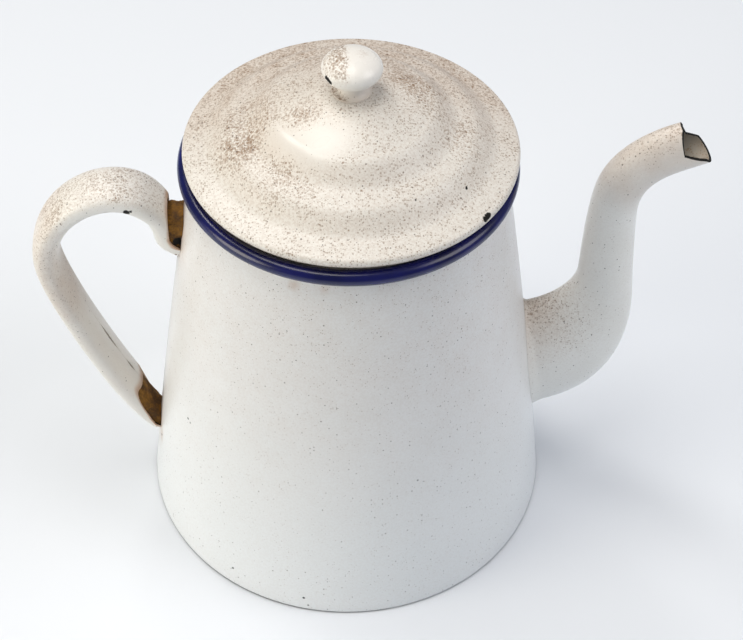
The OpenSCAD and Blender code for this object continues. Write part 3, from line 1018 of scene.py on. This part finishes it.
# %% Handle mesh
def capped_net(rows, columns):
    """Quads over a net whose columns close on themselves, with each end zipped shut."""
    faces = net_faces(rows, columns)[: (rows - 1) * columns]
    half = columns // 2
    for end in (0, (rows - 1) * columns):
        for i in range(half - 1):
            cap = (end + i, end + i + 1, end + columns - 2 - i, end + columns - 1 - i)
            faces.append(cap if end else cap[::-1])
    return faces


def handle_rust(x, y, z):
    inner_dirt = 0.30 * near(x, y, z, (-98.0, 0.0, 104.0), 22)
    left_bow = 0.22 * ease((-92 - x) / 12) * ease((z - 95) / 25)
    return 0.06 + 0.1 * ease((125 - z) / 30) + inner_dirt + left_bow


def cut_fade(start, stop, part):
    """1 at a cut edge and 0 a few millimetres up the enamel from it."""
    t = mix(start, stop, part)
    from_start = (t - start) * HANDLE_LENGTH / UPPER_FADE_MM if start > 0 else 1.0
    from_stop = (stop - t) * HANDLE_LENGTH / LOWER_FADE_MM if stop < 1 else 1.0
    return ease(1 - min(from_start, from_stop))


lines = shell_lines()
shell_points = []
shell_layers = {"rust": [], "bare": []}
for j in range(HANDLE_RINGS + 1):
    part = j / HANDLE_RINGS
    outer = shell_row(lines, part, 0.0)
    inner = shell_row(lines, part, SHEET)
    shell_points += outer + inner[::-1]
    for point, (_, start, stop) in zip(outer, lines):
        shell_layers["rust"].append(handle_rust(*point) + cut_fade(start, stop, part))
    # The shell's inside is painted dark with rust and bare steel: partly unenamelled metal, partly
    # painted shade, so the seam's slits read dark.
    shell_layers["rust"] += [1.0] * HANDLE_SIDES
    shell_layers["bare"] += [0.0] * HANDLE_SIDES + [0.6] * HANDLE_SIDES
HANDLE_CHIPS = [((-73.9, -9.2, 142.9), 1.35), ((-72.6, -9.3, 143.4), 0.8)]
HANDLE_ENAMEL = white_enamel("white_enamel_handle", HANDLE_CHIPS, PALE_CREAM, CREAM)
shell_faces = capped_net(HANDLE_RINGS + 1, 2 * HANDLE_SIDES)
handle = make_piece(
    "handle", shell_points, shell_faces, HANDLE_ENAMEL, "pot", shell_layers
)
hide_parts("handle_shell")

# %% [markdown]
# A bracket fills each end of the hollow handle and carries it on the wall. The enamel is gone
# from both, so they are plain rusted steel with a lumpy surface. The lumps are in the mesh, a
# few sines added to each ring, because a bump in the material alone would leave their outline
# straight. The lower bracket follows the handle's own section. The upper one is a level block
# between the cut and the wall, with the pit rusted into it near its foot.


# %% Brackets
BRACKET_RINGS = 44
BRACKET_SIDES = 72
FIRST_LUMP = random.Random(7).uniform(0, 6.28)
PLUG_GAP = 0.3
LOWER_PLUG_T = 0.82


def lump(angle, along):
    """How far rust swells the surface, in millimetres."""
    wide = 0.14 * math.sin(3 * angle + FIRST_LUMP + 9 * along)
    narrow = 0.09 * math.sin(7 * angle + FIRST_LUMP + 1 - 14 * along)
    return wide + narrow + 0.05 * math.sin(13 * angle + 31 * along)


def bracket(name, points, node):
    """Closes rings of points into a block, with a fan at each end."""
    count = BRACKET_RINGS * BRACKET_SIDES
    faces = net_faces(BRACKET_RINGS + 1, BRACKET_SIDES)[:count]
    for first in (0, count):
        ring = points[first : first + BRACKET_SIDES]
        points.append(tuple(sum(p[k] for p in ring) / BRACKET_SIDES for k in range(3)))
        for i in range(BRACKET_SIDES):
            edge = (first + i, first + (i + 1) % BRACKET_SIDES)
            faces.append((*(edge if first else edge[::-1]), len(points) - 1))
    made = make_piece(name, points, faces, RUSTED_STEEL, "pot")
    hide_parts(node)


def lower_points():
    points = []
    for j in range(BRACKET_RINGS + 1):
        t = mix(LOWER_PLUG_T, 1, j / BRACKET_RINGS)
        for i in range(BRACKET_SIDES):
            angle = 2 * math.pi * i / BRACKET_SIDES
            swell = lump(angle, j / BRACKET_RINGS) if 0 < j < BRACKET_RINGS else 0.0
            points.append(handle_point(t, angle, SHEET + PLUG_GAP - swell))
    return points


# %% Upper bracket
BLOCK_START_X = -62.9
BLOCK_END_X = -58.9
BLOCK_TOP = 135.4
BLOCK_HALF_W = 6.5
BLOCK_CLEAR = 0.5
BLOCK_SQUARE = 4.0
PIT_DEPTH = 1.6
PIT_REACH = 3.0


def strip_z(x):
    """Height of the strip under the block where it passes x, found along the handle's start."""
    t = min((k / 1500 for k in range(300)), key=lambda k: abs(handle_point(k, math.pi, 0.0)[0] - x))
    return handle_point(t, math.pi, 0.0)[2]


def upper_points():
    points = []
    for j in range(BRACKET_RINGS + 1):
        part = j / BRACKET_RINGS
        bottom = strip_z(mix(BLOCK_START_X, BLOCK_END_X, part)) + SHEET + BLOCK_CLEAR
        middle, half_h = (BLOCK_TOP + bottom) / 2, (BLOCK_TOP - bottom) / 2
        for i in range(BRACKET_SIDES):
            angle = 2 * math.pi * i / BRACKET_SIDES
            swell = lump(angle, part)
            y = (BLOCK_HALF_W + swell) * signed_pow(math.sin(angle), 2 / BLOCK_SQUARE)
            z = middle + (half_h + swell) * signed_pow(math.cos(angle), 2 / BLOCK_SQUARE)
            x = mix(BLOCK_START_X, -wall_x(y, z) - EDGE_GAP, part)
            pit = PIT_DEPTH * near(x, y, z, PIT_AT, PIT_REACH)
            y += pit if y < 0 else 0.0
            points.append((min(x, -wall_x(y, z) - EDGE_GAP), y, z))
    return points


bracket("upper_bracket", upper_points(), "handle_upper_bracket")
bracket("lower_bracket", lower_points(), "handle_lower_bracket")

# %% [markdown]
# ## Lid
# The lid is one pressing: a hemmed edge, a sloping flange, two rounded steps and a low dome with
# the knob riveted on its top. It could be modelled from a disc with extrusions, but every ring of
# it is round, so it's drawn as a section and turned. The rise of the steps isn't chosen: it's
# worked out so that the dome's top meets the knob's seat. The lid is loose, and lies a little
# nearer the spout.

# %% Lid section
hem_low, hem_high = box_mm("lid_dome")
LID_X = (hem_low.x + hem_high.x) / 2
LID_R = (hem_high.x - hem_low.x) / 2
HEM_R = 1.7
HEM_Z = hem_low.z + HEM_R
SLOPE = math.radians(15)
DOME_SPAN = math.radians(26)
STEP_W = 9.5
FLANGE_W = 6.8
STEP_SPACE = 4.0
DOME_SPACE = 0.5
OUTER_STEP_R = LID_R - FLANGE_W
INNER_STEP_R = OUTER_STEP_R - STEP_W - STEP_SPACE
DOME_R = INNER_STEP_R - STEP_W - DOME_SPACE
DOME_BALL_R = DOME_R / math.sin(DOME_SPAN)
KNOB_FOOT_R = 6.5
RIVET_HOLE_R = 2.05
LID_SHEET_H = SHEET / math.cos(SLOPE)


def slope_z(r, rise):
    base_z = HEM_Z + HEM_R / math.cos(SLOPE) + (LID_R - HEM_R - r) * math.tan(SLOPE)
    steps = ease((OUTER_STEP_R - r) / STEP_W) + ease((INNER_STEP_R - r) / STEP_W)
    return base_z + rise * steps


def dome_z(r, rise):
    if r > DOME_R:
        return slope_z(r, rise)
    drop = math.sqrt(DOME_BALL_R ** 2 - r * r) - DOME_BALL_R * math.cos(DOME_SPAN)
    return slope_z(DOME_R, rise) + drop


SEAT_Z = box_mm("knob_base")[0].z
STEP_RISE = (SEAT_Z - dome_z(KNOB_FOOT_R, 0.0)) / 2


def lid_z(r):
    return dome_z(r, STEP_RISE)


print(f"lid {2 * LID_R:.1f} mm wide, each step rises {STEP_RISE:.2f} mm")

# %% Lid
LID_STEPS = 120
lid_radii = [mix(KNOB_FOOT_R, LID_R - 2 * HEM_R, i / LID_STEPS) for i in range(LID_STEPS + 1)]
over = [(r, lid_z(r)) for r in lid_radii]
under = [(r, lid_z(r) - LID_SHEET_H) for r in reversed(lid_radii)]
hem_start = 90 - math.degrees(SLOPE)
hem_end = hem_start + math.degrees(math.acos((HEM_R - SHEET) / HEM_R)) - 360
hem = arc((LID_R - HEM_R, HEM_Z), HEM_R, hem_start, hem_end, 28)
rivet_hole = [(RIVET_HOLE_R, SEAT_Z - LID_SHEET_H), (RIVET_HOLE_R, SEAT_Z)]
LID_CHIPS = [
    ((42.6, -35.8, 163.0), 1.15),
    ((41.9, -36.6, 162.9), 1.1),
    ((41.2, -37.4, 162.8), 1.1),
    ((36.0, -28.0, 167.5), 0.7),
    ((19.1, -36.6, 171.0), 0.55),
]
LID_CREAM = (0.745, 0.715, 0.665, 1)
LID_ENAMEL = white_enamel("white_enamel_lid", LID_CHIPS, LID_CREAM)
lid = turned("lid", over + hem + under + rivet_hole, LID_ENAMEL, "lid", centre_x=LID_X)
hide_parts("lid_dome")

# %% [markdown]
# A collar is welded under the lid and keeps it in the mouth. It's another turned section: a short
# tube with a bead rolled into it, which stops against the rim and carries the lid.

# %% Lid collar
COLLAR_GAP = 0.4
COLLAR_DEPTH = 12.0
COLLAR_EDGE = 0.3
STOP_R = 2.0
STOP_GAP = 0.3
COLLAR_R = MOUTH_R - SHEET - LID_X - COLLAR_GAP
collar_inner = COLLAR_R - SHEET
collar_low = RIM_H - COLLAR_DEPTH
collar_edge_z = collar_low + COLLAR_EDGE
gap_x = BEAD_RING_R - COLLAR_R - LID_X
stop_z = RIM_H + math.sqrt((STOP_R + BEAD_R + STOP_GAP) ** 2 - gap_x ** 2)


def under_lid(r):
    return lid_z(r) - LID_SHEET_H - EDGE_GAP


collar_section = [(collar_inner, collar_edge_z), (collar_inner + COLLAR_EDGE, collar_low)]
collar_section += [(COLLAR_R - COLLAR_EDGE, collar_low), (COLLAR_R, collar_edge_z)]
collar_section += arc((COLLAR_R, stop_z), STOP_R, -90, 90, 16)
collar_section += [(COLLAR_R, under_lid(COLLAR_R)), (collar_inner, under_lid(collar_inner))]
collar_section += [(collar_inner, stop_z + STOP_R - SHEET)]
collar_section += arc((COLLAR_R, stop_z), STOP_R - SHEET, 90, -90, 12)
collar_section += [(collar_inner, stop_z - STOP_R + SHEET)]
collar = turned("mouth_ring", collar_section, LID_ENAMEL, "lid", centre_x=LID_X)
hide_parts("lid_collar")
stop_clear = under_lid(COLLAR_R + STOP_R) + EDGE_GAP - stop_z - STOP_R
print(f"the stop is {stop_clear:.2f} mm clear of the lid")

# %% [markdown]
# ## Knob
# The knob is hollow: an upper cap and a lower cup with a short neck, pressed together at the
# widest line. Its foot flares onto the lid, where the rivet holds it. Both are flattened balls
# cut off at some angle, so one short function draws the arcs of both, inside and outside. The
# rivet comes from the model as it is and only takes the knob's enamel.

# %% Knob cap
knob_low, knob_high = box_mm("knob_top")
KNOB_R = (knob_high.x - knob_low.x) / 2
KNOB_HALF_H = knob_high.z - knob_low.z
KNOB_Z = knob_low.z
NECK_R = 4.5


def ball_arc(radius, half_height, start, end, steps):
    found = []
    for i in range(steps + 1):
        angle = math.radians(mix(start, end, i / steps))
        found.append((radius * math.cos(angle), KNOB_Z + half_height * math.sin(angle)))
    return found


cap_section = ball_arc(KNOB_R, KNOB_HALF_H, 0, 90, 24)
cap_section += ball_arc(KNOB_R - SHEET, KNOB_HALF_H - SHEET, 90, 0, 20)
KNOB_CHIPS = [((-7.5, -5.0, 194.3), 0.95), ((-6.9, -5.7, 194.1), 1.0), ((-6.4, -6.3, 193.9), 0.95)]
KNOB_ENAMEL = white_enamel("white_enamel_knob", KNOB_CHIPS, PALE_CREAM, CREAM)
knob_cap = turned("knob_cap", cap_section, KNOB_ENAMEL, "lid", centre_x=LID_X, steps=128)
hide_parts("knob_top")

# %% Knob cup and rivet
neck_angle = math.degrees(math.acos(NECK_R / KNOB_R))
bore_angle = math.degrees(math.acos((NECK_R - SHEET) / (KNOB_R - SHEET)))
flare = KNOB_FOOT_R - NECK_R
foot_arc = arc((KNOB_FOOT_R, SEAT_Z + SHEET / 2 + flare), flare, -90, -180, 10)
cup_section = [(RIVET_HOLE_R, SEAT_Z), (KNOB_FOOT_R, SEAT_Z)] + foot_arc
cup_section += ball_arc(KNOB_R, -KNOB_HALF_H, neck_angle, 0, 20)
cup_section += ball_arc(KNOB_R - SHEET, SHEET - KNOB_HALF_H, 0, bore_angle, 18)
cup_section += [(NECK_R - SHEET, SEAT_Z + SHEET), (RIVET_HOLE_R, SEAT_Z + SHEET)]
knob_cup = turned("knob_cup", cup_section, KNOB_ENAMEL, "lid", centre_x=LID_X, steps=128)
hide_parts("knob_base")

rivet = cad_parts["knob_rivet"]
rivet.data.materials.clear()
rivet.data.materials.append(KNOB_ENAMEL)
print("rivet:", len(rivet.data.polygons), "faces, from the model")

# %% [markdown]
# ## Where the specks lie
# Rust specks grow where damp dust settles, so the layers lean on each point's normal: what faces
# up gets more than what faces down. The rest is told by place. The lid has dense patches, and clean
# ones beside them where the glint falls, which are partly a painted highlight. Its steps get a tan
# that is dirt and also painted shade on the risers, and the knob is speckled on one side only.
# They could be brushed on by hand, but rules are shorter and give the same pot every time.


# %% Layers of the spout and the handle
def spout_grime(x, y, z, normal):
    return 0.26 + 0.36 * max(0.0, normal.z) + 0.22 * near(x, y, z, (78.0, 0.0, 76.0), 24)


def handle_grime(x, y, z, normal):
    return 0.22 + 0.46 * max(0.0, normal.z) * ease((z - 95) / 40) + 0.2 * ease((-90 - x) / 10)


paint(spout, "grime", spout_grime)
paint(handle, "grime", handle_grime)

# %% Layers of the lid and the knob
DENSE_PATCHES = [
    ((-32.0, -5.2, 174.0), 20.0, 0.28),
    ((-36.9, -11.9, 171.6), 14.0, 0.26),
    ((-16.0, -9.1, 182.3), 10.0, 0.38),
    ((-20.3, -26.6, 173.7), 18.0, 0.18),
    ((23.0, 4.2, 181.1), 15.0, 0.26),
    ((18.6, 11.3, 181.6), 13.0, 0.20),
    ((36.0, -10.0, 172.0), 14.0, 0.20),
]
# Patches with fewer specks on the dome's left front, where the glint falls: partly clean enamel,
# partly a painted highlight.
CLEAN_AND_HIGHLIGHT_PATCHES = [
    ((-13.2, -20.2, 180.2), 13.0, 0.55),
    ((-23.0, -14.5, 178.5), 10.0, 0.45),
    ((-4.0, -18.0, 181.5), 10.0, 0.25),
]
LEFT_OF_DOME = (-25.0, -15.0, 177.0)
STEP_DIRT_AND_SHADE_W = 4.5


def lid_grime(x, y, z, normal):
    amount = 0.55 + 0.2 * ease((y + 10) / 45)
    amount += soft_patches(x, y, z, DENSE_PATCHES)
    # Fewer specks in these patches, which is partly a painted highlight.
    return amount - soft_patches(x, y, z, CLEAN_AND_HIGHLIGHT_PATCHES)


def step_dirt_and_shade(r):
    """1 in the middle of each step, falling to 0 beside it."""
    starts = (OUTER_STEP_R, INNER_STEP_R)
    return sum(ease(1 - abs(r - start + STEP_W / 2) / STEP_DIRT_AND_SHADE_W) for start in starts)


def lid_rust(x, y, z, normal):
    if normal.z < 0:
        return 0.22
    back = 0.24 * ease((y + 20) / 50)
    left = 0.08 * near(x, y, z, LEFT_OF_DOME, 25)
    # The tan on the steps is dirt and also painted shade on the risers.
    return 0.02 + back + left + 0.08 * step_dirt_and_shade(math.hypot(x - LID_X, y))


def knob_grime(x, y, z, normal):
    speckled = 0.62 * ease((1.5 - x) / 4) * max(0.0, normal.z + 0.25)
    return 0.12 + speckled + 0.5 * near(x, y, z, (4.0, 1.0, 199.0), 4)


def knob_rust(x, y, z, normal):
    return 0.06 + 0.25 * ease((190 - z) / 5)


paint(lid, "grime", lid_grime)
paint(lid, "rust", lid_rust)
paint(collar, "grime", lambda x, y, z, normal: 0.4)
paint(collar, "rust", lambda x, y, z, normal: 0.15)
for part in (knob_cap, knob_cup):
    paint(part, "grime", knob_grime)
    paint(part, "rust", knob_rust)

# %% [markdown]
# ## Floor and light
# A pale floor carries the shadow. It is one large square that turns clear towards its far edge,
# so it melts into the sky and no horizon shows. What the camera sees of floor and sky has a colour
# of its own, picked with Light Path, so the background can be pale without more light on the pot.
# Four soft round lamps do the rest: a low warm one on the left as a window would stand, one
# overhead, one on the right to fill the shade, and a small one behind on the left that puts the
# bright spots on the lid and the handle.

# %% Floor
FLOOR_COLOUR = (0.84, 0.91, 1.0, 1)
FLOOR_SEEN = (0.82, 0.85, 0.90, 1)
FLOOR_Z = -0.0002
HALF_FLOOR = 3.0
FADE_FROM, FADE_TO = 0.6, 1.5
floor_mesh = bpy.data.meshes.new("floor")
corners = [(-1, -1), (1, -1), (1, 1), (-1, 1)]
floor_points = [(HALF_FLOOR * x, HALF_FLOOR * y, FLOOR_Z) for x, y in corners]
floor_mesh.from_pydata(floor_points, [], [(0, 1, 2, 3)])
floor = bpy.data.objects.new("floor", floor_mesh)
bpy.context.scene.collection.objects.link(floor)
floor_material, tree = new_material("floor")
seen = tree.node("ShaderNodeLightPath", output="Is Camera Ray")
floor_colour = tree.mix(seen, FLOOR_COLOUR, FLOOR_SEEN)
away_m = tree.distance_mm(tree.place(), (0, 0, 0)) * MM
fade = 1 - away_m.above(FADE_FROM, 1 / (FADE_TO - FADE_FROM))
ripple = tree.noise(tree.place(), 40.0, 3.0)
finish_material(tree, floor_material, floor_colour, 0.95, ripple, 0.2, fade)
floor_mesh.materials.append(floor_material)
print(f"floor fades from {FADE_FROM} to {FADE_TO} m")

# %% Sky
SKY_COLOUR = (0.80, 0.90, 1.0, 1)
SKY_LEVEL = 0.20
SKY_SEEN = 0.85
world = bpy.data.worlds.new("sky")
bpy.context.scene.world = world
world.use_nodes = True
world.node_tree.nodes.clear()
sky = NodeTree(world.node_tree)
ray = sky.node("ShaderNodeLightPath", output="Is Camera Ray")
level = SKY_LEVEL + ray * (SKY_SEEN - SKY_LEVEL)
glow = sky.node("ShaderNodeBackground", None, {"Color": SKY_COLOUR, "Strength": level})
world_output = world.node_tree.nodes.new("ShaderNodeOutputWorld")
world.node_tree.links.new(glow.socket, world_output.inputs["Surface"])
print("sky level:", SKY_LEVEL)

# %% Lamps
LAMP_DISTANCE = 1.4
LAMP_AIM = Vector((0.0, 0.0, 0.09))


def soft_lamp(name, azimuth, elevation, size, watts, colour):
    data = bpy.data.lights.new(name, "AREA")
    data.shape = "DISK"
    data.size = size
    data.energy = watts
    data.color = colour
    lamp = bpy.data.objects.new(name, data)
    a, e = math.radians(azimuth), math.radians(elevation)
    away = Vector((math.cos(a) * math.cos(e), math.sin(a) * math.cos(e), math.sin(e)))
    lamp.location = LAMP_AIM + away * LAMP_DISTANCE
    lamp.rotation_euler = away.to_track_quat("Z", "Y").to_euler()
    bpy.context.scene.collection.objects.link(lamp)
    print(f"{name}: {watts} W")


soft_lamp("window", 200, 14, 0.9, 11.0, (1.0, 0.94, 0.80))
soft_lamp("ceiling", 180, 80, 0.9, 10.0, (1.0, 0.96, 0.91))
soft_lamp("far_wall", -15, 42, 0.9, 7.0, (1.0, 0.97, 0.96))
soft_lamp("glint", 130, 56, 0.42, 4.2, (1.0, 0.97, 0.92))
